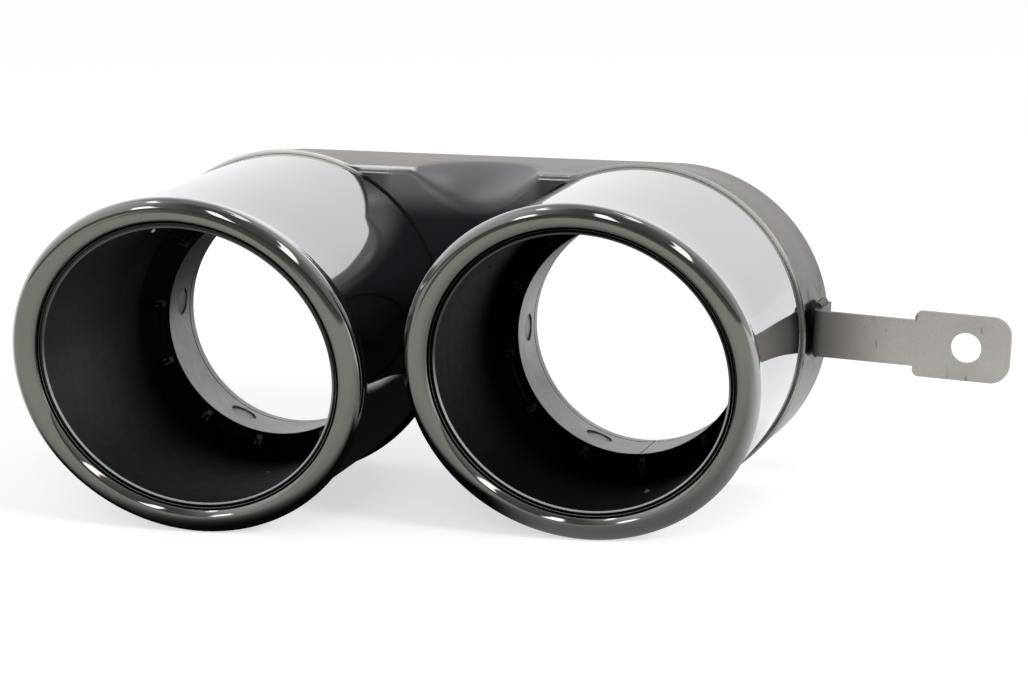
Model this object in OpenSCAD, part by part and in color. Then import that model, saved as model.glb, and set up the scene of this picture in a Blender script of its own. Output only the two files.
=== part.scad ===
// Twin slash-cut exhaust tip: two polished outlets on one pressed rear housing
// X runs from the left outlet to the right one, Y from the mouths to the exhaust, Z up
// The origin is the centre of the left inlet at its rear mouth

/* [Inlets] */
// Bore of the inlet rings
inlet_d = 68; // [60:0.5:76]
// Wall of the inlet rings
ring_t = 1.5; // [1:0.1:2]
// Length of the inlet rings
ring_len = 21; // [18:0.5:26]
// Diameter of the round plug-weld marks inside the rings
mark_d = 8; // [5:0.5:9]
// Depth of the plug-weld marks
mark_depth = 0.35; // [0.2:0.05:0.6]
// Number of plug-weld marks in each ring
mark_count = 5; // [3:1:5]
// Angle from one mark to the next, in degrees
mark_pitch = 69; // [50:1:72]
// Turn of the left ring's first mark, in degrees
left_mark_turn = 175.5; // [0:0.5:360]
// Turn of the right ring's first mark, in degrees
right_mark_turn = 180; // [0:0.5:360]

/* [Sleeves] */
// Sheet thickness of the black inner sleeves
sleeve_t = 1; // [0.6:0.1:1.4]
// How far the sleeve's front edge sits from the plane of the mouth
sleeve_step = 1.6; // [0.8:0.1:2.4]
// Length of the sloping shoulder that closes the sleeve onto the inlet
shoulder_len = 7; // [5:0.5:10]
// How far the shoulder steps out from the inlet to the sleeve, on the radius
shoulder_w = 7; // [5:0.5:12]
// Number of pressed tongues around each shoulder
tongue_count = 6; // [3:1:8]
// Angle that one tongue covers, in degrees
tongue_sweep = 29; // [18:1:34]
// How far the tongues' free edge sits out from the shoulder's inner edge
tongue_inset = 1.9; // [1.4:0.1:2.4]
// Width of the slot around each tongue
tongue_slot = 0.7; // [0.5:0.1:1]
// Turn of the left sleeve's tongues, in degrees
left_tongue_turn = 7.5; // [0:0.5:60]
// Turn of the right sleeve's tongues, in degrees
right_tongue_turn = 22.5; // [0:0.5:60]

/* [Outlets] */
// How far the rolled mouth stands out from the tube behind it
mouth_bulge = 1.4; // [0.6:0.1:2.4]
// Radius of the roll around each mouth
roll_r = 3.9; // [3.4:0.1:4.4]
// Sheet thickness of the outlet tubes
tube_t = 1.2; // [0.8:0.1:1.6]
// How much slimmer the tube is where it enters the housing, on the radius
tube_taper = 0.4; // [0:0.1:1]
// Clear space between the two mouths, measured across
mouth_gap = 8.6; // [6.6:0.2:20]
// Distance from the inlet's rear mouth to the centre of the left mouth
left_reach = 98; // [80:1:130]
// How much further back the right mouth sits
right_setback = 19.5; // [0:0.5:30]
// Slash cut: how far the top of each mouth leans forward, in degrees
rake = 15.4; // [0:0.2:20]
// Slash cut: how far the outer side of each mouth turns back, in degrees
side_rake = 5.1; // [0:0.1:8]
// How much higher the tube's rear end sits than its mouth
tube_rise = 0.8; // [0:0.1:1]

/* [Housing] */
// How far the housing's rear edge stands out beside each tube
housing_flare = 1.8; // [0.8:0.1:6]
// How far the housing's flat top lies below the top of the tubes
flat_drop = 1.8; // [1.2:0.1:3.2]
// Depth of the housing from its front wall to its rear edge
housing_depth = 31; // [28:0.5:40]
// How far the housing's front wall sits ahead of the inlet's rear mouth
front_lead = 9; // [7.5:0.5:12]
// Sheet thickness of the housing
housing_t = 0.9; // [0.8:0.1:1.6]
// How much wider than its sheet the collar around each tube is
collar_lip = 0.2; // [0.15:0.05:0.6]
// Rounding of the front edge between the tubes
front_round = 2.2; // [1.6:0.1:3]
// Width of the pressed scoop in the top edge
scoop_w = 39; // [24:1:46]
// How far the scoop runs back along the top
scoop_run = 15.6; // [6:0.2:18]
// How far the scoop reaches down the front wall
scoop_drop = 13.4; // [6:0.2:16]
// Sideways position of the scoop from the middle
scoop_x = 3.2; // [-4:0.2:4]
// Angle at which the underside leaves each lobe, in degrees
waist_angle = 35; // [30:1:42]
// Thickness of the plate that carries the inlet rings
plate_t = 1.5; // [1:0.1:2]
// Clear space between the housing's front wall and the plate
plate_gap = 3.9; // [2:0.1:5]

/* [Bracket] */
// Thickness of the bracket
bracket_t = 2; // [1.5:0.1:3]
// Height of the bracket's arm
arm_h = 13.4; // [10:0.2:16]
// Length of the arm from the housing to the tab
arm_len = 30; // [20:0.5:45]
// Height of the tab
tab_h = 19.2; // [16:0.2:24]
// Length of the tab
tab_len = 28.2; // [22:0.2:36]
// Diameter of the bolt hole
hole_d = 9; // [6.5:0.5:11]
// Distance from the tab's end to the hole's centre
hole_inset = 12.9; // [10:0.1:14]
// Droop of the arm, in degrees
droop = 2.8; // [0:0.2:6]
// Inside radius of the bend at the housing
bend_r = 1; // [1:0.5:4]
// Length of the flange that lies along the housing
flange_len = 15; // [10:0.5:17]
// How far the bracket's face sits behind the housing's front wall
bracket_setback = 5; // [3:0.5:8]
// How far the bracket's root sits above the inlet's centre
bracket_rise = 1.3; // [-4:0.1:6]

/* [Hidden] */
$fn = 96;
fit_gap = 0.05;
sides = 64;
roll_back = 5;
blend_len = 8;
left_pips = [[131, 45], [-82.5, 52]];
right_pips = [[140, 17], [-74.5, 33]];
pip_r = 0.75;
ring_r = inlet_d / 2;
ring_or = ring_r + ring_t;
sleeve_lip = ring_r + 2 * fit_gap;
sleeve_bore = sleeve_lip + shoulder_w;
sleeve_r = sleeve_bore + sleeve_t;
roll_inner_r = sleeve_r + 2 * fit_gap;
mouth_r = roll_inner_r + 2 * roll_r;
axis_spacing = 2 * mouth_r + mouth_gap;
tube_front_r = mouth_r - mouth_bulge;
tube_rear_r = tube_front_r - tube_taper;
mid_x = axis_spacing / 2;
housing_w = axis_spacing + 2 * (tube_rear_r + housing_flare);
housing_h = 2 * (tube_rear_r - flat_drop);
front_y = -front_lead;
rear_y = front_y + housing_depth;
tube_end_y = front_y + housing_t;
plate_y = tube_end_y + plate_gap;
lean_x = tan(side_rake);
lean_z = -tan(rake) / cos(side_rake);

// Slash-cut tube with its rolled mouth
// Each profile point is [radius, distance behind the plane of the mouth]
roll_y = roll_r - roll_back;
function roll_point(r, a) = [mouth_r - roll_r + r * cos(a), roll_y - r * sin(a)];
function blend_point(r0, r1, s) = [r0 + (r1 - r0) * (3 * s * s - 2 * s * s * s), roll_y + blend_len * s];
function outer_profile() = concat(
    [[tube_front_r, roll_y + blend_len]],
    [for (s = [0.75, 0.5, 0.25]) blend_point(mouth_r, tube_front_r, s)],
    [for (a = [0 : 18 : 198]) roll_point(roll_r, a)]
);
function inner_profile() = concat(
    [for (a = [198 : -27 : 9]) roll_point(roll_r - tube_t, a)],
    [for (s = [0.3, 0.65, 1]) blend_point(mouth_r - tube_t, tube_front_r - tube_t, s)]
);
function rise_at(y, mouth_y) = tube_rise * max(0, min(1, (y - mouth_y) / (tube_end_y - mouth_y)));
function swept(p, a, mouth_y) =
    let (y = mouth_y + p[1] + p[0] * (lean_x * cos(a) + lean_z * sin(a)))
    [p[0] * cos(a), y, p[0] * sin(a) + rise_at(y, mouth_y)];
function ended(r, a) = [r * cos(a), tube_end_y - fit_gap, r * sin(a) + tube_rise];
function tube_points(mouth_y) =
    let (front = concat(outer_profile(), inner_profile()))
    [for (i = [0 : sides - 1])
        let (a = 360 * i / sides)
        each concat(
            [ended(tube_rear_r, a)],
            [for (p = front) swept(p, a, mouth_y)],
            [ended(tube_rear_r - tube_t, a)]
        )
    ];
function ring_faces(n, m) = [for (i = [0 : n - 1]) for (j = [0 : m - 1])
    let (k = (i + 1) % n, l = (j + 1) % m)
    each [[i * m + j, i * m + l, k * m + l], [i * m + j, k * m + l, k * m + j]]];
module slash_tube(x, mouth_y) {
    m = len(outer_profile()) + len(inner_profile()) + 2;
    translate([x, 0, 0])
        polyhedron(points = tube_points(mouth_y), faces = ring_faces(sides, m), convexity = 8);
}

// Everything in front of a mouth's slanted plane
module ahead_of_mouth(mouth_y) {
    far = 4 * mouth_r;
    translate([0, mouth_y, 0])
        rotate([0, 0, side_rake])
            rotate([rake, 0, 0])
                translate([-far / 2, -far, -far / 2])
                    cube(far);
}

// Sleeve with a sloping shoulder, tongues cut in the shoulder and two small pips
module sleeve(x, mouth_y, turn, pips) {
    end_y = -ring_len - fit_gap;
    cut_r = sleeve_lip + tongue_inset;
    leg = min(3, sleeve_bore - cut_r - 1.5);
    cut_len = shoulder_len + 6;
    translate([x, 0, 0])
        difference() {
            union() {
                rotate([-90, 0, 0])
                    rotate_extrude()
                        polygon([
                            [sleeve_bore, mouth_y - mouth_r],
                            [sleeve_r, mouth_y - mouth_r],
                            [sleeve_r, end_y - shoulder_len],
                            [sleeve_lip + sleeve_t, end_y],
                            [sleeve_lip, end_y],
                            [sleeve_bore, end_y - shoulder_len]
                        ]);
                for (p = pips)
                    rotate([0, -p[0], 0])
                        translate([sleeve_bore + 0.1, mouth_y + p[1], 0])
                            sphere(r = pip_r, $fn = 24);
            }
            ahead_of_mouth(mouth_y - sleeve_step);
            for (i = [0 : tongue_count - 1])
                rotate([0, -turn - 360 * i / tongue_count, 0]) {
                    rotate([90, 0, 0])
                        rotate([0, 0, -tongue_sweep / 2])
                            translate([0, 0, ring_len - 6])
                                rotate_extrude(angle = tongue_sweep)
                                    translate([cut_r, 0])
                                        square([tongue_slot, cut_len]);
                    for (s = [-1, 1])
                        rotate([0, s * (tongue_sweep / 2 - 0.6), 0])
                            translate([cut_r, end_y - shoulder_len, -0.45])
                                cube([leg, cut_len, 0.9]);
                }
        }
}

// Inlet ring with plug-weld marks, a weld line and its butt seam
module inlet_ring(x, first_mark, seam_turn) {
    translate([x, 0, 0])
        difference() {
            rotate([90, 0, 0])
                cylinder(h = ring_len, r = ring_or);
            translate([0, 1, 0])
                rotate([90, 0, 0])
                    cylinder(h = ring_len + 2, r = ring_r);
            for (i = [0 : mark_count - 1])
                rotate([0, -first_mark - mark_pitch * i, 0])
                    translate([ring_r - 3, -ring_len * 0.47, 0])
                        rotate([0, 90, 0])
                            cylinder(h = 3 + mark_depth, r = mark_d / 2, $fn = 48);
            translate([0, -3, 0])
                rotate([90, 0, 0])
                    cylinder(h = 0.5, r = ring_r + 0.25);
            rotate([0, -seam_turn, 0])
                translate([ring_r - 1, -ring_len - 1, -0.2])
                    cube([1.2, ring_len + 2, 0.4]);
        }
}

// Housing outline as [x, z] points from the middle of the top, clockwise to the middle of the underside
// c is the lobe's centre, r its radius, f the height of the flat top and w an inset
flat_n = 16;
lobe_n = 40;
waist_n = 5;
half_n = flat_n + lobe_n + waist_n;
front_c = [mid_x, tube_rise];
front_lobe_r = tube_rear_r + housing_t + collar_lip;
front_flat = housing_h / 2 - 0.2;
rear_r = housing_h / 2;
rear_c = [housing_w / 2 - rear_r, 0];
function lobe_start(c, r, f) = 180 - asin(min(1, (f - c[1]) / r));
function half_point(i, c, r0, f0, w) =
    let (
        r = r0 - w,
        f = f0 - w,
        a0 = lobe_start(c, r, f),
        fillet = c[0] / cos(waist_angle) - r,
        zf = c[1] - c[0] * tan(waist_angle)
    )
    i <= flat_n ? [(c[0] + r * cos(a0)) * i / flat_n, f] :
    i <= flat_n + lobe_n ?
        let (a = a0 + (waist_angle - 180 - a0) * (i - flat_n) / lobe_n)
        [c[0] + r * cos(a), c[1] + r * sin(a)] :
        let (a = waist_angle + (90 - waist_angle) * (i - flat_n - lobe_n) / waist_n)
        [fillet * cos(a), zf + fillet * sin(a)];
function side_point(i, c, r, f, w) =
    i <= half_n ? half_point(i, c, r, f, w) :
    let (p = half_point(2 * half_n - i, c, r, f, w))
    [-p[0], p[1]];
function skin(i, w, y) =
    let (
        s = max(0, y - tube_end_y) / (rear_y - tube_end_y),
        a = side_point(i, front_c, front_lobe_r, front_flat, w),
        b = side_point(i, rear_c, rear_r, rear_r, w)
    )
    [mid_x + a[0] + (b[0] - a[0]) * s, y, a[1] + (b[1] - a[1]) * s];

// Pressed front edge: a small round everywhere, opening into the scoop at the top
hole_r = tube_rear_r + fit_gap;
function top_x(i) = side_point(i, front_c, front_lobe_r, front_flat, 0)[0];
function on_top(i) = i <= flat_n || i >= 2 * half_n - flat_n;
function bump(i) =
    let (u = 2 * (top_x(i) - scoop_x) / scoop_w)
    on_top(i) && abs(u) < 1 ? pow(1 - u * u, 1.15) : 0;
function hole_top(x) = front_c[1] + sqrt(max(0, hole_r * hole_r - pow(front_c[0] - abs(x), 2)));
function above_hole(i) = front_flat - hole_top(top_x(i));
function inner_above(i, t) =
    front_flat - t - hole_top(side_point(i, front_c, front_lobe_r, front_flat, t + 0.4)[0]) - 0.03;
function edge_of(i) = on_top(i) ? min(front_round, max(0.3, above_hole(i) - 0.3)) : 0.7;
function edge_in(i, t) =
    let (e = edge_of(i) + (scoop_drop - front_round) * bump(i) - 0.6 * t)
    t == 0 || bump(i) > 0 ? max(0.3, e) :
    on_top(i) ? max(0.02, min(e, inner_above(i, t))) :
    0.02;
function edge_back(i, t) = max(0.3, edge_of(i) + (scoop_run - front_round) * bump(i) - 0.6 * t);
function edge_point(i, s, t) =
    let (
        k = bump(i) * 0.9,
        d = edge_in(i, t) * ((1 - k) * (1 - cos(90 * s)) + k * s),
        b = edge_back(i, t) * ((1 - k) * (1 - sin(90 * s)) + k * (1 - s))
    )
    skin(i, t + d, front_y + t + b);

// The housing is one closed sheet: outer skin, front wall with two holes, inner skin and rear edge
outer_n = 5;
inner_n = 3;
hole_n = lobe_n + 16;
loop_n = 2 * half_n;
function hole_point(k, side, y) =
    let (
        a0 = lobe_start(front_c, front_lobe_r, front_flat),
        a1 = waist_angle - 180,
        a = k <= lobe_n ?
            a0 + (a1 - a0) * k / lobe_n :
            a1 + (a0 - 360 - a1) * (k - lobe_n) / (hole_n - lobe_n)
    )
    [mid_x + side * (front_c[0] + hole_r * cos(a)), y, front_c[1] + hole_r * sin(a)];
housing_points = concat(
    [for (i = [0 : loop_n - 1]) skin(i, 0, rear_y)],
    [for (j = [0 : outer_n]) for (i = [0 : loop_n - 1]) edge_point(i, j / outer_n, 0)],
    [for (j = [inner_n : -1 : 0]) for (i = [0 : loop_n - 1]) edge_point(i, j / inner_n, housing_t)],
    [for (i = [0 : loop_n - 1]) skin(i, housing_t, rear_y)],
    [for (side = [1, -1]) for (y = [front_y, tube_end_y])
        for (k = [0 : hole_n - 1]) hole_point(k, side, y)]
);
function at(j, i) = j * loop_n + i % loop_n;
front_j = outer_n + 1;
back_j = outer_n + 2;
end_j = outer_n + inner_n + 3;
holes_at = (end_j + 1) * loop_n;
function hole_at(h, k) = holes_at + h * hole_n + k % hole_n;
function two(a, b, c, d) = [[a, b, c], [a, c, d]];
function strip(j, l) = [for (i = [0 : loop_n - 1]) each two(at(j, i), at(j, i + 1), at(l, i + 1), at(l, i))];
function wall_face(j, h) = concat(
    [for (i = [0 : flat_n]) at(j, i)],
    [hole_at(h, 0)],
    [for (k = [hole_n - 1 : -1 : lobe_n]) hole_at(h, k)],
    [for (i = [flat_n + lobe_n : loop_n - flat_n - lobe_n]) at(j, i)],
    [for (k = [lobe_n : hole_n]) hole_at(h + 2, k)],
    [for (i = [loop_n - flat_n : loop_n - 1]) at(j, i)]
);
function flipped(f) = [for (i = [len(f) - 1 : -1 : 0]) f[i]];
function right_i(k) = flat_n + k;
function left_i(k) = loop_n - flat_n - k;
housing_faces = concat(
    [for (j = [0 : outer_n]) each strip(j, j + 1)],
    [for (j = [back_j : end_j - 1]) each strip(j, j + 1)],
    [for (f = strip(0, end_j)) flipped(f)],
    [wall_face(front_j, 0), flipped(wall_face(back_j, 1))],
    [for (k = [0 : lobe_n - 1]) each concat(
        two(at(front_j, right_i(k)), at(front_j, right_i(k + 1)), hole_at(0, k + 1), hole_at(0, k)),
        two(hole_at(1, k), hole_at(1, k + 1), at(back_j, right_i(k + 1)), at(back_j, right_i(k))),
        two(at(front_j, left_i(k + 1)), at(front_j, left_i(k)), hole_at(2, k), hole_at(2, k + 1)),
        two(hole_at(3, k + 1), hole_at(3, k), at(back_j, left_i(k)), at(back_j, left_i(k + 1)))
    )],
    [for (k = [0 : hole_n - 1]) each concat(
        two(hole_at(0, k), hole_at(0, k + 1), hole_at(1, k + 1), hole_at(1, k)),
        two(hole_at(2, k + 1), hole_at(2, k), hole_at(3, k), hole_at(3, k + 1))
    )]
);
module rear_housing() {
    color([0.56, 0.54, 0.52])
        polyhedron(points = housing_points, faces = housing_faces, convexity = 10);
}

// Flat plate inside the housing that carries both inlet rings
function under_scoop(i) =
    bump(i) <= 0 ? 0 :
    0.5 + max(0, edge_in(i, housing_t) * (1 - (plate_y - tube_end_y) / edge_back(i, housing_t)));
module rear_plate() {
    outline = [for (i = [0 : loop_n - 1])
        let (p = skin(i, housing_t + fit_gap + under_scoop(i), plate_y + plate_t))
        [p[0], p[2]]];
    color([0.6, 0.6, 0.6])
        difference() {
            translate([0, plate_y + plate_t, 0])
                rotate([90, 0, 0])
                    linear_extrude(plate_t)
                        polygon(outline);
            for (x = [0, axis_spacing])
                translate([x, plate_y + plate_t + 1, 0])
                    rotate([90, 0, 0])
                        cylinder(h = plate_t + 2, r = ring_or + fit_gap);
        }
}

// Weld bead with four faces in the corner between a cylinder and a flat face behind it
module corner_bead(r, bead) {
    rotate([90, 0, 0])
        rotate_extrude()
            polygon(concat(
                [[r, 0]],
                [for (a = [0 : 30 : 90]) [r + bead * cos(a), bead * sin(a)]]
            ));
}

// Bracket arm and tab as one flat outline, measured from the housing's side
module arm_outline() {
    start = bracket_t + bend_r;
    end = arm_len + tab_len;
    small = 2;
    large = min(5.5, tab_h / 2 - 0.5);
    difference() {
        union() {
            translate([start, -arm_h / 2])
                square([arm_len - start + 1, arm_h]);
            translate([arm_len + small, -tab_h / 2])
                square([tab_len - small - large, tab_h]);
            translate([arm_len, small - tab_h / 2])
                square([tab_len - large, tab_h - 2 * small]);
            for (s = [-1, 1])
                translate([arm_len + small, s * (tab_h / 2 - small)])
                    circle(r = small, $fn = 48);
            translate([end - large - 1, large - tab_h / 2])
                square([large + 1, tab_h - 2 * large]);
            for (s = [-1, 1])
                translate([end - large, s * (tab_h / 2 - large)])
                    circle(r = large, $fn = 64);
        }
        translate([end - hole_inset, 0])
            circle(r = hole_d / 2, $fn = 64);
    }
}
side_x = max(housing_w / 2, mid_x + front_lobe_r);
bracket_x = mid_x + side_x + fit_gap + max(0, arm_h / 2 * sin(droop) - 0.3);
bracket_y = front_y + bracket_setback;
bracket_z = bracket_rise;
weld_bead = 1.3;
module in_bracket_frame() {
    translate([bracket_x, bracket_y, bracket_z])
        rotate([0, droop, 0])
            children();
}
module hanger_bracket() {
    corner = bracket_t + bend_r;
    color([0.55, 0.53, 0.5])
        in_bracket_frame()
            union() {
                translate([0, bracket_t, 0])
                    rotate([90, 0, 0])
                        linear_extrude(bracket_t)
                            arm_outline();
                translate([corner, corner, -arm_h / 2])
                    rotate([0, 0, 180])
                        rotate_extrude(angle = 90)
                            translate([bend_r, 0])
                                square([bracket_t, arm_h]);
                translate([0, corner, -arm_h / 2])
                    cube([bracket_t, flange_len, arm_h]);
            }
}
module bracket_weld() {
    start = bracket_t + bend_r + 3;
    color([0.42, 0.38, 0.36])
        translate([0, bracket_y + start + flange_len - 5, 0])
            rotate([90, 0, 0])
                linear_extrude(flange_len - 5)
                    difference() {
                        translate([bracket_x, bracket_z])
                            rotate(-droop)
                                difference() {
                                    for (s = [-1, 1])
                                        translate([0.1, s * (arm_h / 2 + 0.1)])
                                            circle(r = weld_bead, $fn = 32);
                                    translate([-3, -arm_h / 2 - 0.03])
                                        square([9, arm_h + 0.06]);
                                }
                        translate([mid_x + rear_c[0], 0])
                            circle(r = side_x - rear_c[0] + 0.04, $fn = 180);
                    }
}

module left_outlet_tube() color([0.3, 0.29, 0.28]) slash_tube(0, -left_reach);
module right_outlet_tube() color([0.3, 0.29, 0.28]) slash_tube(axis_spacing, right_setback - left_reach);
module left_inner_sleeve()
    color([0.07, 0.07, 0.07])
        sleeve(0, -left_reach, left_tongue_turn, left_pips);
module right_inner_sleeve()
    color([0.07, 0.07, 0.07])
        sleeve(axis_spacing, right_setback - left_reach, right_tongue_turn, right_pips);
module left_inlet_ring() color([0.62, 0.61, 0.6]) inlet_ring(0, left_mark_turn, 60);
module right_inlet_ring() color([0.62, 0.61, 0.6]) inlet_ring(axis_spacing, right_mark_turn, -85);
module tube_weld(x)
    color([0.45, 0.43, 0.41])
        translate([x, front_y - 0.02, tube_rise])
            corner_bead(tube_rear_r + 0.06, 0.5);
module ring_weld(x)
    color([0.5, 0.48, 0.45])
        translate([x, plate_y + plate_t + 0.02, 0])
            mirror([0, 1, 0])
                corner_bead(ring_or + 0.02, 1.6);
module left_tube_weld() tube_weld(0);
module right_tube_weld() tube_weld(axis_spacing);
module left_ring_weld() ring_weld(0);
module right_ring_weld() ring_weld(axis_spacing);

left_outlet_tube();
right_outlet_tube();
left_inner_sleeve();
right_inner_sleeve();
left_inlet_ring();
right_inlet_ring();
rear_housing();
rear_plate();
left_tube_weld();
right_tube_weld();
left_ring_weld();
right_ring_weld();
hanger_bracket();
bracket_weld();
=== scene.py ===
import math

import bmesh
import bpy
from mathutils import Matrix, Vector


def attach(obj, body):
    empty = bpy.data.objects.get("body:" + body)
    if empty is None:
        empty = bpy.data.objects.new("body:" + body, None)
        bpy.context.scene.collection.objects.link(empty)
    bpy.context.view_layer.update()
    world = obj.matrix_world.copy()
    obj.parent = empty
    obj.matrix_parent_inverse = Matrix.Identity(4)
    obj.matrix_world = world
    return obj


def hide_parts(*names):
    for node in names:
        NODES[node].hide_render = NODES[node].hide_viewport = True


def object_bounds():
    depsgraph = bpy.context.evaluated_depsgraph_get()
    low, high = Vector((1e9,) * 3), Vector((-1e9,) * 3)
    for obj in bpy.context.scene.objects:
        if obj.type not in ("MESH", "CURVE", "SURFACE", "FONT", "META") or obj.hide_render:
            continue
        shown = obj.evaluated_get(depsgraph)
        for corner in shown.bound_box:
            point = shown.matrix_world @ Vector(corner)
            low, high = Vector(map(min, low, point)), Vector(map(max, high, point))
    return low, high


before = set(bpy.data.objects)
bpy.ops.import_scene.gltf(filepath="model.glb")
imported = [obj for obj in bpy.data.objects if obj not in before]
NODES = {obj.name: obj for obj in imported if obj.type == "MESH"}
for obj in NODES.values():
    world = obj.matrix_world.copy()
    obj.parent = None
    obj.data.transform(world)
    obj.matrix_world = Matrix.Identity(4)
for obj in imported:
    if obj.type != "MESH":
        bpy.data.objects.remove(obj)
CAD_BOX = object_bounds()
MM = 0.001

# ---------- sizes in millimetres, the same as the solids' ----------
# Outlets: rolled mouths on tapered tubes, cut slantwise
MOUTH_R = 50.0
BULGE = 1.4
ROLL_R = 3.9
TUBE_T = 1.2
TAPER = 0.4
NECK_LEN = 8.0
ROLL_Y = ROLL_R - 5.0
ROLL_SWEEP = 198.0
ROLL_INNER_END = 9.0
SPACING = 108.6
MID = SPACING / 2
LEFT_Y = -98.0
RIGHT_Y = -78.5
RAKE = math.radians(15.4)
SIDE = math.radians(5.1)
RISE = 0.8
TUBE_R0 = MOUTH_R - BULGE
TUBE_R1 = TUBE_R0 - TAPER
LEAN_X = math.tan(SIDE)
LEAN_Z = -math.tan(RAKE) / math.cos(SIDE)

# Housing: a front outline lofted to a plainer rear one
REAR_Y = 22.0
FRONT_Y = -9.0
WALL = 0.9
END_Y = FRONT_Y + WALL
TUBE_END_Y = END_Y - 0.05
COLLAR_LIP = 0.2
WAIST = 35.0
FRONT_C = (MID, RISE)
FRONT_R = TUBE_R1 + WALL + COLLAR_LIP
FLAT_Z = 46.2
BACK_R = 46.4
BACK_C = (104.3 - BACK_R, 0.0)
HOLE_R = TUBE_R1 + 0.05
ROUND = 2.2
LOBE_ROUND = 0.7
LEAST_EDGE = 0.3
THIN_EDGE = 0.02
SCOOP_W = 39.0
SCOOP_RUN = 15.6
SCOOP_DROP = 13.4
SCOOP_X = 3.2
SCOOP_POWER = 1.15

# Points along the housing's outline: half the flat top, a lobe, half the waist
FLAT_N, LOBE_N, WAIST_N = 56, 132, 24
HALF_N = FLAT_N + LOBE_N + WAIST_N
LOOP_N = 2 * HALF_N

# Painted marks, in metres and degrees
INLET_R = 0.034
MARK_PITCH = 69.0
MARK_Y = -0.00987
MARK_R = 0.0034
SPECK_Y = -0.00325
TONGUE_PITCH = 60.0
LEG_ANGLE = 13.9
LEG_IN_R, LEG_OUT_R = 0.0350, 0.0374
SHOULDER_Y = -0.0285
SLEEVE_BORE_R = 0.0411


# ---------- mesh helpers ----------
def make_object(name, verts, faces, sharp=35.0):
    mesh = bpy.data.meshes.new(name)
    mesh.from_pydata([Vector(v) * MM for v in verts], [], faces)
    bm = bmesh.new()
    bm.from_mesh(mesh)
    bmesh.ops.recalc_face_normals(bm, faces=bm.faces)
    big = [f for f in bm.faces if len(f.verts) > 4]
    bmesh.ops.triangulate(bm, faces=big, ngon_method="EAR_CLIP")
    bm.to_mesh(mesh)
    bm.free()
    mesh.shade_smooth()
    mesh.set_sharp_from_angle(angle=math.radians(sharp))
    obj = bpy.data.objects.new(name, mesh)
    bpy.context.scene.collection.objects.link(obj)
    return obj


def tube_profile():
    """The mouth's section as (radius, depth), from the outer neck over the roll and back inside."""
    def roll(r, degrees):
        a = math.radians(degrees)
        return (MOUTH_R - ROLL_R + r * math.cos(a), ROLL_Y - r * math.sin(a))

    def neck(r0, r1, s):
        return (r0 + (r1 - r0) * (3 * s * s - 2 * s ** 3), ROLL_Y + NECK_LEN * s)

    outer_n, inner_n, neck_n = 40, 16, 12
    profile = [(TUBE_R0, NECK_LEN + ROLL_Y)]
    profile += [neck(MOUTH_R, TUBE_R0, s / neck_n) for s in range(neck_n - 1, 0, -1)]
    profile += [roll(ROLL_R, ROLL_SWEEP * k / outer_n) for k in range(outer_n + 1)]
    profile += [roll(ROLL_R - TUBE_T, ROLL_SWEEP - (ROLL_SWEEP - ROLL_INNER_END) * k / inner_n)
                for k in range(inner_n + 1)]
    profile += [neck(MOUTH_R - TUBE_T, TUBE_R0 - TUBE_T, s) for s in (0.3, 0.65, 1)]
    return profile


def slash_tube(name, x0, mouth_y, sides=224, barrel_n=6):
    profile = tube_profile()
    verts, m = [], len(profile) + 2 * barrel_n

    def put(r, y, c, s):
        along = max(0.0, min(1.0, (y - mouth_y) / (END_Y - mouth_y)))
        return (x0 + r * c, y, r * s + RISE * along)

    for i in range(sides):
        a = 2 * math.pi * i / sides
        c, s = math.cos(a), math.sin(a)
        lean = LEAN_X * c + LEAN_Z * s
        column = [put(r, mouth_y + d + r * lean, c, s) for r, d in profile]
        y0, y1 = column[0][1], column[-1][1]
        outer = [put(TUBE_R1 + (TUBE_R0 - TUBE_R1) * k / barrel_n,
                     TUBE_END_Y + (y0 - END_Y) * k / barrel_n, c, s) for k in range(barrel_n)]
        inner = [put(TUBE_R0 - TUBE_T + (TUBE_R1 - TUBE_R0) * k / barrel_n,
                     y1 + (TUBE_END_Y - y1) * k / barrel_n, c, s) for k in range(1, barrel_n + 1)]
        verts += outer + column + inner
    faces = []
    for i in range(sides):
        k = (i + 1) % sides
        for j in range(m):
            n = (j + 1) % m
            faces.append((i * m + j, k * m + j, k * m + n, i * m + n))
    return make_object(name, verts, faces)


def lobe_start(centre, r, f):
    """The angle at which a lobe of radius r meets the flat top at height f."""
    return 180 - math.degrees(math.asin(min(1.0, (f - centre[1]) / r)))


def half_point(i, centre, outer_r, outer_f, inset):
    """A point of one half of an outline, from the middle of the top round to the waist."""
    r, f = outer_r - inset, outer_f - inset
    start = lobe_start(centre, r, f)
    waist = math.radians(WAIST)
    if i <= FLAT_N:
        return ((centre[0] + r * math.cos(math.radians(start))) * i / FLAT_N, f)
    if i <= FLAT_N + LOBE_N:
        a = math.radians(start + (WAIST - 180 - start) * (i - FLAT_N) / LOBE_N)
        return (centre[0] + r * math.cos(a), centre[1] + r * math.sin(a))
    fillet = centre[0] / math.cos(waist) - r
    fillet_z = centre[1] - centre[0] * math.tan(waist)
    a = math.radians(WAIST + (90 - WAIST) * (i - FLAT_N - LOBE_N) / WAIST_N)
    return (fillet * math.cos(a), fillet_z + fillet * math.sin(a))


def outline(i, centre, r, f, inset):
    if i <= HALF_N:
        return half_point(i, centre, r, f, inset)
    x, z = half_point(LOOP_N - i, centre, r, f, inset)
    return (-x, z)


def front_outline(i, inset=0.0):
    return outline(i, FRONT_C, FRONT_R, FLAT_Z, inset)


def skin(i, inset, y):
    s = max(0.0, y - END_Y) / (REAR_Y - END_Y)
    a = front_outline(i, inset)
    b = outline(i, BACK_C, BACK_R, BACK_R, inset)
    return (MID + a[0] + (b[0] - a[0]) * s, y, a[1] + (b[1] - a[1]) * s)


def off_the_flat(i):
    return FLAT_N < i < LOOP_N - FLAT_N


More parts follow.
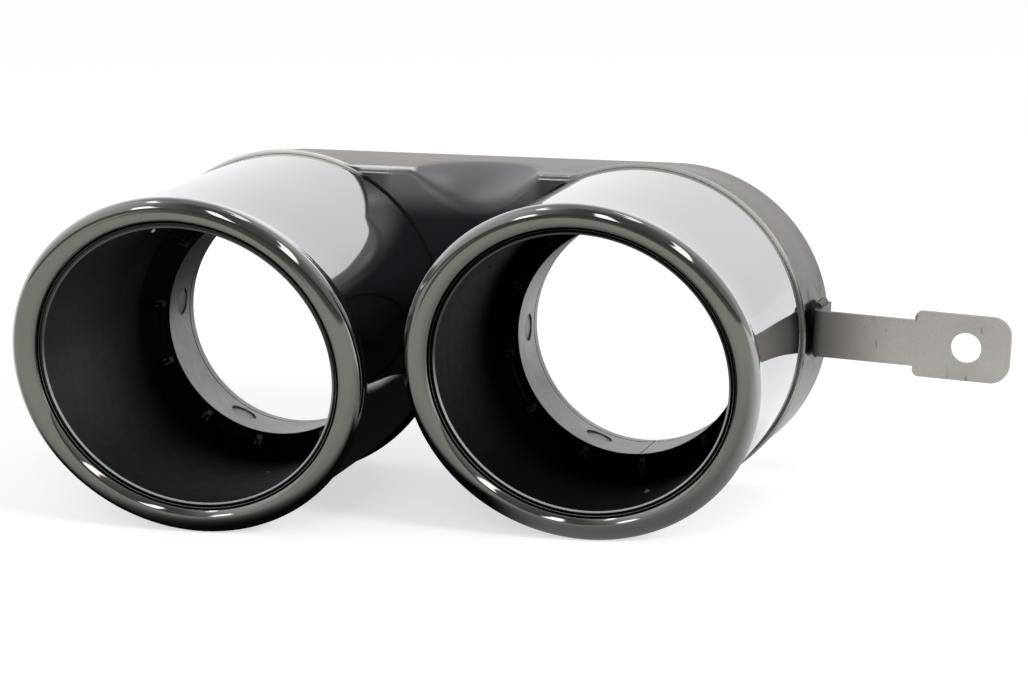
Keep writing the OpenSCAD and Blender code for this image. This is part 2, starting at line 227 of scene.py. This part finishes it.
def scoop_share(i):
    """How much of the scoop's depth falls on a point of the outline, from 0 to 1."""
    if off_the_flat(i):
        return 0.0
    u = 2 * (front_outline(i)[0] - SCOOP_X) / SCOOP_W
    return (1 - u * u) ** SCOOP_POWER if abs(u) < 1 else 0.0


def above_hole(i, inset=0.0):
    """The wall's height between the tube's hole and the flat top."""
    aside = FRONT_C[0] - abs(front_outline(i, inset)[0])
    return FLAT_Z - FRONT_C[1] - math.sqrt(max(0.0, HOLE_R ** 2 - aside ** 2))


def edge_size(i):
    if off_the_flat(i):
        return LOBE_ROUND
    return min(ROUND, max(LEAST_EDGE, above_hole(i) - LEAST_EDGE))


def edge_point(i, s, depth):
    """A point of the front edge, s from 0 on the side to 1 on the wall, depth under the skin."""
    k = scoop_share(i)
    drop = edge_size(i) + (SCOOP_DROP - ROUND) * k - 0.6 * depth
    if depth == 0 or k > 0:
        drop = max(LEAST_EDGE, drop)
    elif off_the_flat(i):
        drop = THIN_EDGE
    else:
        drop = max(THIN_EDGE, min(drop, above_hole(i, depth + 0.6) - depth - 0.1))
    back = max(LEAST_EDGE, edge_size(i) + (SCOOP_RUN - ROUND) * k - 0.6 * depth)
    k *= 0.9
    q = math.radians(90 * s)
    drop *= (1 - k) * (1 - math.cos(q)) + k * s
    back *= (1 - k) * (1 - math.sin(q)) + k * (1 - s) ** 2
    return skin(i, depth + drop, FRONT_Y + depth + back)


def hole_loop(side, y, n):
    a0, a1 = lobe_start(FRONT_C, FRONT_R, FLAT_Z), WAIST - 180
    out = []
    for k in range(n):
        if k <= LOBE_N:
            a = a0 + (a1 - a0) * k / LOBE_N
        else:
            a = a1 + (a0 - 360 - a1) * (k - LOBE_N) / (n - LOBE_N)
        a = math.radians(a)
        x = MID + side * (FRONT_C[0] + HOLE_R * math.cos(a))
        out.append((x, y, FRONT_C[1] + HOLE_R * math.sin(a)))
    return out


def housing(name, outer_n=14, inner_n=6, side_n=3):
    hole_n = LOBE_N + 56

    def side_loop(j):
        loop = []
        for i in range(LOOP_N):
            end = FRONT_Y + SCOOP_RUN if scoop_share(i) <= 0 else edge_point(i, 0, 0)[1]
            loop.append(skin(i, 0, REAR_Y + (end - REAR_Y) * j / side_n))
        return loop

    def edge_loop(s, depth):
        return [edge_point(i, s, depth) for i in range(LOOP_N)]

    loops = [[skin(i, 0, REAR_Y) for i in range(LOOP_N)]]
    loops += [side_loop(j) for j in range(1, side_n)]
    loops += [edge_loop(j / outer_n, 0) for j in range(outer_n + 1)]
    front_j = len(loops) - 1
    back_j = len(loops)
    loops += [edge_loop(j / inner_n, WALL) for j in range(inner_n, -1, -1)]
    loops += [[skin(i, WALL, REAR_Y) for i in range(LOOP_N)]]
    end_j = len(loops) - 1
    verts = [p for loop in loops for p in loop]
    base = len(verts)
    for side in (1, -1):
        for y in (FRONT_Y, END_Y):
            verts += hole_loop(side, y, hole_n)

    def at(j, i):
        return j * LOOP_N + i % LOOP_N

    def hole(h, k):
        return base + h * hole_n + k % hole_n

    faces = []
    strips = [(j, j + 1) for j in range(front_j)] + [(j, j + 1) for j in range(back_j, end_j)]
    for j, l in strips:
        for i in range(LOOP_N):
            faces.append((at(j, i), at(l, i), at(l, i + 1), at(j, i + 1)))
    for i in range(LOOP_N):
        faces.append((at(0, i), at(0, i + 1), at(end_j, i + 1), at(end_j, i)))

    def wall(j, h):
        """The wall between the tubes: along the top, round one hole, the waist, the other hole."""
        f = [at(j, i) for i in range(FLAT_N + 1)] + [hole(h, 0)]
        f += [hole(h, k) for k in range(hole_n - 1, LOBE_N - 1, -1)]
        f += [at(j, i) for i in range(FLAT_N + LOBE_N, LOOP_N - FLAT_N - LOBE_N + 1)]
        f += [hole(h + 2, k) for k in range(LOBE_N, hole_n + 1)]
        f += [at(j, i) for i in range(LOOP_N - FLAT_N, LOOP_N)]
        return f

    faces.append(tuple(reversed(wall(front_j, 0))))
    faces.append(tuple(wall(back_j, 1)))
    # The collars outside the holes, right and left, front and back
    for k in range(LOBE_N):
        r0, l0 = FLAT_N + k, LOOP_N - FLAT_N - k
        r1, l1 = r0 + 1, l0 - 1
        faces.append((at(front_j, r0), hole(0, k), hole(0, k + 1), at(front_j, r1)))
        faces.append((hole(1, k), at(back_j, r0), at(back_j, r1), hole(1, k + 1)))
        faces.append((at(front_j, l1), hole(2, k + 1), hole(2, k), at(front_j, l0)))
        faces.append((hole(3, k + 1), at(back_j, l1), at(back_j, l0), hole(3, k)))
    for k in range(hole_n):
        faces.append((hole(0, k), hole(1, k), hole(1, k + 1), hole(0, k + 1)))
        faces.append((hole(2, k + 1), hole(3, k + 1), hole(3, k), hole(2, k)))
    obj = make_object(name, verts, faces, 28.0)
    for polygon in obj.data.polygons:
        if abs(polygon.normal.y) > 0.9999:
            polygon.use_smooth = False
    return obj


# ---------- material helpers ----------
class Graph:
    """A node tree with short names for the nodes that the materials share."""

    def __init__(self, owner, kind, space):
        owner.use_nodes = True
        self.tree = owner.node_tree
        self.tree.nodes.clear()
        self.out = self.add(kind)
        self.coord = self.add("ShaderNodeTexCoord").outputs[space]

    def add(self, kind, **values):
        node = self.tree.nodes.new(kind)
        for key, value in values.items():
            setattr(node, key, value)
        return node

    def link(self, a, b):
        self.tree.links.new(a, b)

    def feed(self, value, socket):
        if isinstance(value, (int, float)):
            socket.default_value = value
        elif isinstance(value, tuple):
            socket.default_value = (*value, 1)
        else:
            self.link(value, socket)

    def math(self, op, a, b=None, clamp=False):
        node = self.add("ShaderNodeMath", operation=op, use_clamp=clamp)
        self.feed(a, node.inputs[0])
        if b is not None:
            self.feed(b, node.inputs[1])
        return node.outputs[0]

    def plus(self, a, b, clamp=False):
        return self.math("ADD", a, b, clamp)

    def minus(self, a, b):
        return self.math("SUBTRACT", a, b)

    def times(self, a, b):
        return self.math("MULTIPLY", a, b)

    def apart(self, a, b):
        """The distance between two numbers."""
        return self.math("ABSOLUTE", self.minus(a, b))

    def length(self, *terms):
        total = self.times(terms[0], terms[0])
        for term in terms[1:]:
            total = self.plus(total, self.times(term, term))
        return self.math("SQRT", total)

    def degrees(self, op, a, b=None):
        return self.times(self.math(op, a, b), 180 / math.pi)

    def noise(self, scale, detail=4.0, rough=0.5, stretch=None, distortion=0.0):
        vector = self.coord
        if stretch:
            mapping = self.add("ShaderNodeMapping")
            mapping.inputs["Scale"].default_value = stretch
            self.link(vector, mapping.inputs["Vector"])
            vector = mapping.outputs[0]
        node = self.add("ShaderNodeTexNoise")
        node.inputs["Scale"].default_value = scale
        node.inputs["Detail"].default_value = detail
        node.inputs["Roughness"].default_value = rough
        node.inputs["Distortion"].default_value = distortion
        self.link(vector, node.inputs["Vector"])
        return node.outputs["Fac"]

    def ramp(self, fac, stops):
        node = self.add("ShaderNodeValToRGB")
        while len(node.color_ramp.elements) < len(stops):
            node.color_ramp.elements.new(0.5)
        for element, (pos, colour) in zip(node.color_ramp.elements, stops):
            element.position = pos
            element.color = (*colour, 1)
        self.link(fac, node.inputs[0])
        return node.outputs[0]

    def remap(self, fac, a, b, c, d, **values):
        node = self.add("ShaderNodeMapRange", **values)
        for socket, value in zip(list(node.inputs)[1:5], (a, b, c, d)):
            socket.default_value = value
        self.link(fac, node.inputs[0])
        return node.outputs[0]

    def step(self, value, a, b, c=0.0, d=1.0):
        """A smooth change from c at a to d at b."""
        return self.remap(value, a, b, c, d, interpolation_type="SMOOTHSTEP")

    def mix(self, fac, a, b, blend="MIX"):
        node = self.add("ShaderNodeMix", data_type="RGBA", blend_type=blend)
        for value, index in ((fac, 0), (a, 6), (b, 7)):
            self.feed(value, node.inputs[index])
        return node.outputs[2]

    def axes(self):
        node = self.add("ShaderNodeSeparateXYZ")
        self.link(self.coord, node.inputs[0])
        return node.outputs

    def shade(self, kind, colour, strength=None):
        node = self.add(kind)
        self.feed(colour, node.inputs["Color"])
        if strength is not None:
            node.inputs["Strength"].default_value = strength
        return node.outputs[0]

    def blend(self, fac, a, b):
        node = self.add("ShaderNodeMixShader")
        for value, socket in zip((fac, a, b), node.inputs):
            self.link(value, socket)
        return node.outputs[0]


class Nodes(Graph):
    """A material with one Principled shader."""

    def __init__(self, name):
        self.material = bpy.data.materials.new(name)
        super().__init__(self.material, "ShaderNodeOutputMaterial", "Object")
        self.bsdf = self.add("ShaderNodeBsdfPrincipled")
        self.link(self.bsdf.outputs[0], self.out.inputs[0])

    def set(self, **values):
        """Sets or links inputs of the shader, their names with _ for each space."""
        for name, value in values.items():
            self.feed(value, self.bsdf.inputs[name.replace("_", " ")])

    def bump(self, height, strength, distance):
        node = self.add("ShaderNodeBump")
        node.inputs["Strength"].default_value = strength
        node.inputs["Distance"].default_value = distance
        self.link(height, node.inputs["Height"])
        self.link(node.outputs[0], self.bsdf.inputs["Normal"])

    def turned(self, radians_of, turn, pitch):
        """Degrees round an axis from the nearest of the places turn + k * pitch."""
        degrees = self.degrees("ARCTAN2", *radians_of)
        whole = self.math("MODULO", self.plus(degrees, 720 - turn + pitch / 2), 360.0)
        return self.minus(self.math("MODULO", whole, pitch), pitch / 2)


# ---------- materials ----------
def black_chrome():
    n = Nodes("black_chrome_polished")
    haze = n.noise(22, 5, 0.6)
    smear = n.noise(60, 6, 0.65, (1, 0.35, 1), 0.4)
    n.set(
        Metallic=1.0,
        Base_Color=n.ramp(haze, [(0.3, (0.325, 0.325, 0.325)), (0.7, (0.36, 0.36, 0.36))]),
        Roughness=n.remap(smear, 0.35, 0.75, 0.04, 0.09),
        Coat_Weight=1.0,
        Coat_IOR=1.8,
        Coat_Roughness=0.03,
    )
    n.bump(n.noise(420, 2, 0.4), 0.02, 0.0002)
    return n.material


def satin_steel():
    n = Nodes("satin_pressed_steel")
    x, y, z = n.axes()
    cloud = n.noise(30, 5, 0.6)
    grain = n.noise(900, 3, 0.6, (1, 0.12, 1))
    base = n.ramp(cloud, [(0.25, (0.35, 0.345, 0.34)), (0.75, (0.41, 0.405, 0.40))])
    colour = n.mix(n.remap(grain, 0.3, 0.7, 0.0, 0.14), base, (0.25, 0.245, 0.24))
    normal = n.add("ShaderNodeSeparateXYZ")
    n.link(n.add("ShaderNodeNewGeometry").outputs["Normal"], normal.inputs[0])
    facing = normal.outputs[1]
    faced = n.step(facing, -0.72, -0.97)
    from_mid = n.apart(x, MID * MM)

    # The front wall between the tubes, painted near black as shade and dark reflection, but for a
    # soft fade under its top edge
    web_shade = n.times(n.step(from_mid, 0.052, 0.040), n.step(y, 0.012, 0.008))
    web_shade = n.times(n.times(web_shade, faced), n.step(z, 0.045, 0.034, 0.20, 0.93))
    colour = n.mix(web_shade, colour, (0.014, 0.015, 0.018))

    # The scoop, painted a cool grey as its sheen, with painted shade darker lower down
    hollow = n.times(n.step(from_mid, 0.025, 0.018), n.step(facing, -0.05, -0.2))
    colour = n.mix(n.times(hollow, 0.8), colour, (0.355, 0.362, 0.385))
    shadow = n.times(hollow, n.step(z, 0.0405, 0.0305, 0.12, 0.92))
    colour = n.mix(shadow, colour, (0.02, 0.024, 0.033))

    # The rounded front edge and the collars' upper part, pale and dull: a painted highlight, paler
    # on the left
    flat = n.step(n.apart(x, (MID + SCOOP_X) * MM), 0.0175, 0.0195)
    inward = n.math("MAXIMUM", n.step(facing, -0.60, -0.85), n.step(z, 0.0452, 0.0444))
    inner = n.times(n.step(from_mid, 0.038, 0.034), inward)
    crest = n.times(n.times(flat, n.step(z, 0.012, 0.030)), n.step(facing, -0.06, -0.3))
    crest = n.times(n.times(crest, n.minus(1.0, inner)), 0.9)
    pale = n.mix(n.step(x, 0.030, 0.070), (0.68, 0.675, 0.665), (0.36, 0.352, 0.34))
    colour = n.mix(crest, colour, pale)
    collar = n.times(faced, n.step(from_mid, 0.050, 0.058, 0.0, 0.75))
    dull = n.math("MAXIMUM", collar, crest)

    # Heat marks round the bracket's root
    beside = n.step(n.minus(x, 0.1585), -0.009, -0.001)
    near = n.times(beside, n.step(n.apart(z, 0.0015), 0.0175, 0.009))
    smoke = n.noise(170, 5, 0.65, (1, 0.8, 0.6), 0.3)
    heat = n.times(near, n.step(smoke, 0.40, 0.66, 0.15, 0.9))
    colour = n.mix(heat, colour, (0.07, 0.06, 0.055))

    n.set(
        Base_Color=colour,
        Metallic=n.minus(1.0, dull),
        Roughness=n.plus(n.remap(cloud, 0.3, 0.7, 0.17, 0.24), n.times(hollow, 0.24)),
        Specular_Tint=(0.6, 0.59, 0.57),
    )
    n.bump(grain, 0.04, 0.0002)
    return n.material


def bare_steel(name, ring=None):
    """Bare sheet, on a ring with its plug-weld marks: ring is its axis in X and its turn."""
    n = Nodes(name)
    cloud = n.noise(45, 6, 0.6)
    grain = n.noise(700, 3, 0.5, (0.3, 1, 0.3))
    colour = n.ramp(cloud, [(0.25, (0.24, 0.236, 0.227)), (0.75, (0.39, 0.385, 0.37))])
    if ring:
        centre_x, turn = ring
        x, y, z = n.axes()
        across = n.turned((z, n.minus(x, centre_x)), turn, MARK_PITCH)
        arc = n.times(across, INLET_R * math.pi / 180)
        dist = n.length(arc, n.minus(y, MARK_Y))
        rim = n.step(n.apart(dist, MARK_R), 0.0014, 0.0, 0.0, 0.6)
        mark = n.plus(rim, n.step(dist, 0.0044, 0.0020, 0.0, 0.35), True)
        mark = n.times(mark, n.remap(cloud, 0.3, 0.6, 0.35, 1.0))
        colour = n.mix(mark, colour, (0.10, 0.095, 0.09))
        line = n.step(n.apart(y, SPECK_Y), 0.0006, 0.0, 0.0, 0.8)
        specks = n.step(n.noise(420, 2, 0.5), 0.46, 0.54)
        colour = n.mix(n.times(line, specks), colour, (0.04, 0.04, 0.04))
    n.set(Base_Color=colour, Metallic=0.75, Roughness=n.remap(grain, 0.3, 0.7, 0.34, 0.46))
    n.bump(grain, 0.08, 0.0002)
    return n.material


def black_sleeve(centre_x, turn, mouth_y, pip_glints, lit_amount, leg_lift):
    """Matt black paint with painted shade, darker deeper in and lower down, and painted light near
    the mouth and on top. lit_amount is how much painted light there is, leg_lift how much lighter
    the tongues' legs are, and pip_glints are glints painted on the pips as angle, depth and tone."""
    n = Nodes("matt_black_sleeve")
    x, y, z = n.axes()
    dx = n.minus(x, centre_x)
    radius = n.length(dx, z)
    across = n.math("ABSOLUTE", n.turned((z, dx), turn, TONGUE_PITCH))
    near_leg = n.step(n.apart(across, LEG_ANGLE), 1.9, 0.9)
    in_reach = n.times(n.math("GREATER_THAN", radius, LEG_IN_R),
                       n.math("LESS_THAN", radius, LEG_OUT_R))
    leg = n.times(n.times(near_leg, in_reach), n.math("GREATER_THAN", y, SHOULDER_Y))
    paint = n.ramp(n.noise(35, 5, 0.6),
                   [(0.3, (0.0062, 0.0066, 0.0062)), (0.75, (0.0085, 0.0089, 0.0083))])
    lean = n.plus(n.times(dx, LEAN_X), n.times(z, LEAN_Z))
    behind = n.minus(n.minus(y, mouth_y), lean)
    # Painted shade deeper in and lower down, painted light near the mouth and on top
    clear = n.times(n.step(behind, 0.060, 0.010, 0.2 * lit_amount, lit_amount),
                    n.step(z, -0.034, 0.004, 0.1, 1.0))
    clear = n.times(clear, n.step(z, 0.004, 0.018, 1.0, 1.0 + lit_amount))
    colour = n.mix(n.minus(1.0, clear), paint, (0.0008, 0.0009, 0.0008))
    colour = n.mix(n.times(leg, leg_lift), colour, (0.12, 0.12, 0.115))
    # The cut edge at the mouth, with a painted highlight on its lower part and dark above
    cut = n.times(n.step(behind, -0.0009, -0.0013), n.step(radius, 0.0417, 0.0414))
    rim = n.mix(n.step(z, 0.008, -0.012), (0.05, 0.05, 0.05), (0.34, 0.35, 0.36))
    colour = n.mix(cut, colour, rim)
    # Glints painted on the pips
    for angle, depth, tone in pip_glints:
        a = math.radians(angle)
        spot = (centre_x + SLEEVE_BORE_R * math.cos(a), mouth_y + depth,
                SLEEVE_BORE_R * math.sin(a))
        dist = n.length(*(n.minus(axis, centre) for axis, centre in zip((x, y, z), spot)))
        colour = n.mix(n.step(dist, 0.0012, 0.0009), colour, (tone, tone, tone))
    n.set(
        Base_Color=colour,
        Metallic=0.0,
        Specular_IOR_Level=n.times(clear, 0.42),
        Roughness=n.remap(n.noise(300, 3, 0.5), 0.3, 0.7, 0.54, 0.6),
    )
    n.bump(n.noise(2600, 2, 0.5), 0.03, 0.0001)
    return n.material


def bracket_steel():
    n = Nodes("dull_bracket_steel")
    cloud = n.noise(38, 5, 0.6)
    speck = n.noise(1500, 2, 0.5)
    colour = n.ramp(cloud, [(0.3, (0.35, 0.335, 0.316)), (0.7, (0.415, 0.398, 0.378))])
    colour = n.mix(n.remap(speck, 0.6, 0.72, 0.0, 0.5), colour, (0.18, 0.17, 0.16))
    scratch = n.noise(160, 3, 0.7, (0.25, 1, 2.4), 0.6)
    colour = n.mix(n.remap(scratch, 0.68, 0.78, 0.0, 0.2), colour, (0.5, 0.49, 0.47))
    nick = n.noise(210, 2, 0.5, (1.6, 1, 0.35), 0.2)
    colour = n.mix(n.step(nick, 0.65, 0.70, 0.0, 0.6), colour, (0.1, 0.095, 0.09))
    # Painted shade, darker towards the bracket's root
    root = n.step(n.axes()[0], 0.184, 0.157)
    colour = n.mix(n.times(root, 0.9), colour, (0.05, 0.048, 0.045))
    n.set(Base_Color=colour, Metallic=0.35, Roughness=n.remap(cloud, 0.3, 0.7, 0.42, 0.55))
    n.bump(speck, 0.12, 0.0002)
    return n.material


def weld_metal(name, tones, metallic=0.8, lit_top_tone=None):
    """A bead in three tones. A seam has its upper part in a tone of its own as painted light, and
    painted shade where it runs between the tubes.
    """
    n = Nodes(name)
    tint = n.noise(140, 4, 0.6)
    colour = n.ramp(tint, list(zip((0.25, 0.55, 0.8), tones)))
    if lit_top_tone:
        x, y, z = n.axes()
        # Painted light on the seam's upper part, painted shade between the tubes
        colour = n.mix(n.step(z, 0.012, 0.030), colour, lit_top_tone)
        span = n.step(z, 0.040, 0.044, 0.054, 0.036)
        away = n.minus(n.apart(x, MID * MM), span)
        colour = n.mix(n.step(away, 0.0, -0.008), colour, (0.006, 0.0065, 0.0075))
        n.set(Specular_IOR_Level=0.12)
    n.set(Base_Color=colour, Metallic=metallic, Roughness=n.remap(tint, 0.3, 0.7, 0.36, 0.5))
    n.bump(n.noise(900, 3, 0.6), 0.3, 0.0003)
    return n.material


CHROME = black_chrome()
RING_WELD = weld_metal(
    "weld_metal", ((0.16, 0.14, 0.13), (0.34, 0.31, 0.28), (0.46, 0.43, 0.39)))

# ---------- pieces that stand for the faceted solids ----------
for piece, node, material, slot in (
    (slash_tube("left_polished_outlet", 0.0, LEFT_Y), "left_outlet_tube", CHROME, "black_chrome"),
    (slash_tube("right_polished_outlet", SPACING, RIGHT_Y), "right_outlet_tube", CHROME,
     "black_chrome"),
    (housing("pressed_rear_housing"), "rear_housing", satin_steel(), "satin_steel"),
):
    piece.data.materials.clear()
    piece.data.materials.append(material)
    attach(piece, "root")
    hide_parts(node)

# ---------- materials of the solids that show themselves ----------
for node, material in {
    "left_inner_sleeve": black_sleeve(
        0.0, 7.5, LEFT_Y * MM, ((131, 0.045, 1.0), (-82.5, 0.052, 0.08)), 1.15, 0.4),
    "right_inner_sleeve": black_sleeve(
        SPACING * MM, 22.5, RIGHT_Y * MM, ((140, 0.017, 0.03), (-74.5, 0.033, 0.16)), 0.1, 0.1),
    "left_inlet_ring": bare_steel("bare_steel_ring", (0.0, 175.5)),
    "right_inlet_ring": bare_steel("bare_steel_ring", (SPACING * MM, 180.0)),
    "rear_plate": bare_steel("bare_steel_plate"),
    "hanger_bracket": bracket_steel(),
    "left_ring_weld": RING_WELD,
    "right_ring_weld": RING_WELD,
    "bracket_weld": weld_metal(
        "smoked_weld", ((0.04, 0.036, 0.033), (0.08, 0.072, 0.065), (0.15, 0.138, 0.125))),
    # The left seam is painted light and the right one dark: lit and shaded copies of one weld
    "left_tube_weld": weld_metal(
        "seam_weld_painted_lit", ((0.38, 0.37, 0.355), (0.46, 0.45, 0.435), (0.54, 0.53, 0.51)),
        0.1, (0.46, 0.45, 0.435)),
    "right_tube_weld": weld_metal(
        "seam_weld_painted_dark", ((0.05, 0.048, 0.045), (0.08, 0.077, 0.073), (0.13, 0.126, 0.12)),
        0.2, (0.30, 0.293, 0.283)),
}.items():
    slots = NODES[node].material_slots
    if not slots:
        raise RuntimeError("no material slot on " + node)
    for slot in slots:
        slot.material = material

# ---------- floor ----------
# The camera sees a plain pale floor that keeps the shadow, and glossy rays see a table with painted
# shadows of the object on it
FLOOR_HALF = 6
floor_z = CAD_BOX[0][2]
mesh = bpy.data.meshes.new("studio_floor")
mesh.from_pydata([(sx * FLOOR_HALF, sy * FLOOR_HALF, floor_z)
                  for sx, sy in ((-1, -1), (1, -1), (1, 1), (-1, 1))], [], [(0, 1, 2, 3)])
floor = bpy.data.objects.new("studio_floor", mesh)
bpy.context.scene.collection.objects.link(floor)
material = bpy.data.materials.new("studio_floor")
g = Graph(material, "ShaderNodeOutputMaterial", "Object")
path = g.add("ShaderNodeLightPath").outputs
x, y, z = g.axes()


def beyond(centre, half):
    """How far a place on the floor lies outside a rectangle."""
    return g.math("MAXIMUM", *(g.minus(g.apart(axis, middle), reach)
                               for axis, middle, reach in zip((x, y), centre, half)))


table = g.step(y, -0.42, -0.33, 0.14, 0.45)
behind = g.step(y, -0.14, -0.02)
ground = g.mix(behind, g.mix(1.0, table, (1.0, 0.98, 0.86), "MULTIPLY"), (0.98, 0.99, 1.0))
# Painted shadow under the object
under = g.step(beyond((0.035, -0.035), (0.115, 0.05)), 0.07, -0.02, 0.0, 0.75)
ground = g.mix(under, ground, (0.03, 0.03, 0.028))
# Painted shadow behind the object, on the left
back_left_shadow = g.step(beyond((0.005, 0.14), (0.082, 0.24)), 0.012, -0.012)
ground = g.mix(back_left_shadow, ground, (0.005, 0.0055, 0.006))
front_y = g.minus(y, g.step(g.math("ABSOLUTE", x), 0.045, 0.0, 0.0, 0.05))
front = g.times(g.step(front_y, -0.215, -0.265), g.step(x, -0.09, -0.02, 0.0, 0.88))
ground = g.mix(front, ground, (0.075, 0.073, 0.068))

shown = g.add("ShaderNodeAddShader")
g.link(g.shade("ShaderNodeEmission", (1, 1, 1), 0.62), shown.inputs[0])
g.link(g.shade("ShaderNodeBsdfDiffuse", (0.55, 0.55, 0.55)), shown.inputs[1])
direct = g.plus(path["Is Camera Ray"], path["Is Transmission Ray"], True)
lit = g.blend(path["Is Glossy Ray"], g.shade("ShaderNodeBsdfDiffuse", (0.8, 0.8, 0.8)),
              g.shade("ShaderNodeEmission", ground, 1.0))
g.link(g.blend(direct, lit, shown.outputs[0]), g.out.inputs[0])
floor.data.materials.append(material)

# ---------- world ----------
# Plain white, with a studio of panels and strips that only glossy rays see.
# Directions are turn, in degrees from the front towards +X, and height
AROUND = (  # turn, strength, share of blue
    (-180, 1.0, 1.0), (-96, 1.0, 1.0), (-84, 0.78, 0.98), (-30, 0.55, 0.95), (-16, 0.3, 0.94),
    (-3, 0.12, 0.93), (6, 0.1, 0.92), (44, 0.14, 0.92), (60, 0.22, 0.93), (88, 0.32, 0.95),
    (99, 0.4, 0.96), (108, 0.56, 0.98), (150, 0.62, 1.0), (168, 1.0, 1.0), (180, 1.0, 1.0),
)
STRIPS = (  # from, to, half width, colour
    ((66, 36), (36, 8), 4.2, (2.6, 2.45, 2.35)),
    ((10, 30), (7, 5), 3.0, (2.8, 2.8, 2.8)),
    ((-18, 12), (-11, -18), 3.2, (2.8, 2.8, 2.8)),
    ((-27, 52), (-58, 67), 3.0, (2.4, 2.4, 2.4)),
    ((60, 66), (150, 70), 3.5, (2.0, 2.0, 2.0)),
)
world = bpy.data.worlds.new("studio")
bpy.context.scene.world = world
g = Graph(world, "ShaderNodeOutputWorld", "Generated")
path = g.add("ShaderNodeLightPath").outputs
x, y, z = g.axes()
turn = g.degrees("ARCTAN2", x, g.times(y, -1.0))
high = g.degrees("ARCSINE", z)
around = g.ramp(g.remap(turn, -180, 180, 0, 1),
                [((a + 180) / 360, (v, v * 0.985, v * w)) for a, v, w in AROUND])
rearward = g.minus(1.0, g.math("LESS_THAN", g.math("ABSOLUTE", turn), 95.0))
low_left = g.times(g.step(turn, -8, -30), g.step(turn, -90, -80))
around = g.mix(g.times(low_left, g.step(high, 22, 2)), around, (0.50, 0.49, 0.44))
around = g.mix(g.times(rearward, g.step(high, 34, 58)), around, (0.52, 0.52, 0.52))
around = g.mix(g.step(high, 56, 78), around, (0.34, 0.335, 0.32))


def strip(start, end, width):
    """A soft line between two directions."""
    ax, ay = g.minus(turn, start[0]), g.minus(high, start[1])
    bx, by = end[0] - start[0], end[1] - start[1]
    along = g.math("DIVIDE", g.plus(g.times(ax, bx), g.times(ay, by)), bx * bx + by * by, True)
    far = g.length(g.minus(ax, g.times(along, bx)), g.minus(ay, g.times(along, by)))
    return g.step(far, width * 1.25, width * 0.8)


for start, end, width, tint in STRIPS:
    around = g.mix(strip(start, end, width), around, tint)
direct = g.plus(path["Is Camera Ray"], path["Is Transmission Ray"], True)
inside = g.blend(path["Is Glossy Ray"], g.shade("ShaderNodeBackground", (1, 1, 1), 0.6),
                 g.shade("ShaderNodeBackground", around, 1.0))
g.link(g.blend(direct, inside, g.shade("ShaderNodeBackground", (1, 1, 1), 1.0)),
       g.out.inputs[0])


# ---------- lamps ----------
AIM = Vector((0.054, -0.05, 0.0))


def lamp(name, place, size, power, colour=(1, 1, 1)):
    data = bpy.data.lights.new(name, "AREA")
    data.shape = "RECTANGLE"
    data.size, data.size_y = size
    data.energy = power
    data.color = colour
    obj = bpy.data.objects.new(name, data)
    obj.location = place
    obj.rotation_euler = (AIM - Vector(place)).to_track_quat("-Z", "Y").to_euler()
    obj.visible_glossy = False
    bpy.context.scene.collection.objects.link(obj)


lamp("key_right", (1.23, -0.82, 0.62), (0.35, 0.45), 16.0, (1.0, 0.97, 0.94))
lamp("fill_front", (0.30, -1.60, 0.70), (0.5, 0.5), 8.0)

# ---------- camera, fitted to the photograph ----------
IMAGE_W = 1028
FOCAL_PX = 3978.47
SENSOR_MM = 36.0
CAMERA_RIGHT = Vector((0.9645012, 0.2640672, 0.0024288)).normalized()
CAMERA_UP = Vector((-0.0488227, 0.1692703, 0.9843597)).normalized()
CAMERA_BACK = -Vector((-0.2595260, 0.9495347, -0.1761539)).normalized()
CAMERA_PLACE = Vector((0.3220246 + MID * MM, -1.0318774 + LEFT_Y * MM, 0.2031237))
data = bpy.data.cameras.new("camera")
data.sensor_fit = "HORIZONTAL"
data.sensor_width = SENSOR_MM
data.lens = FOCAL_PX * SENSOR_MM / IMAGE_W
data.clip_start, data.clip_end = 0.05, 50
camera = bpy.data.objects.new("camera", data)
camera.matrix_world = Matrix((
    *((CAMERA_RIGHT[i], CAMERA_UP[i], CAMERA_BACK[i], CAMERA_PLACE[i]) for i in range(3)),
    (0, 0, 0, 1),
))
bpy.context.scene.collection.objects.link(camera)
bpy.context.scene.camera = camera
bpy.context.scene.view_settings.view_transform = "Standard"
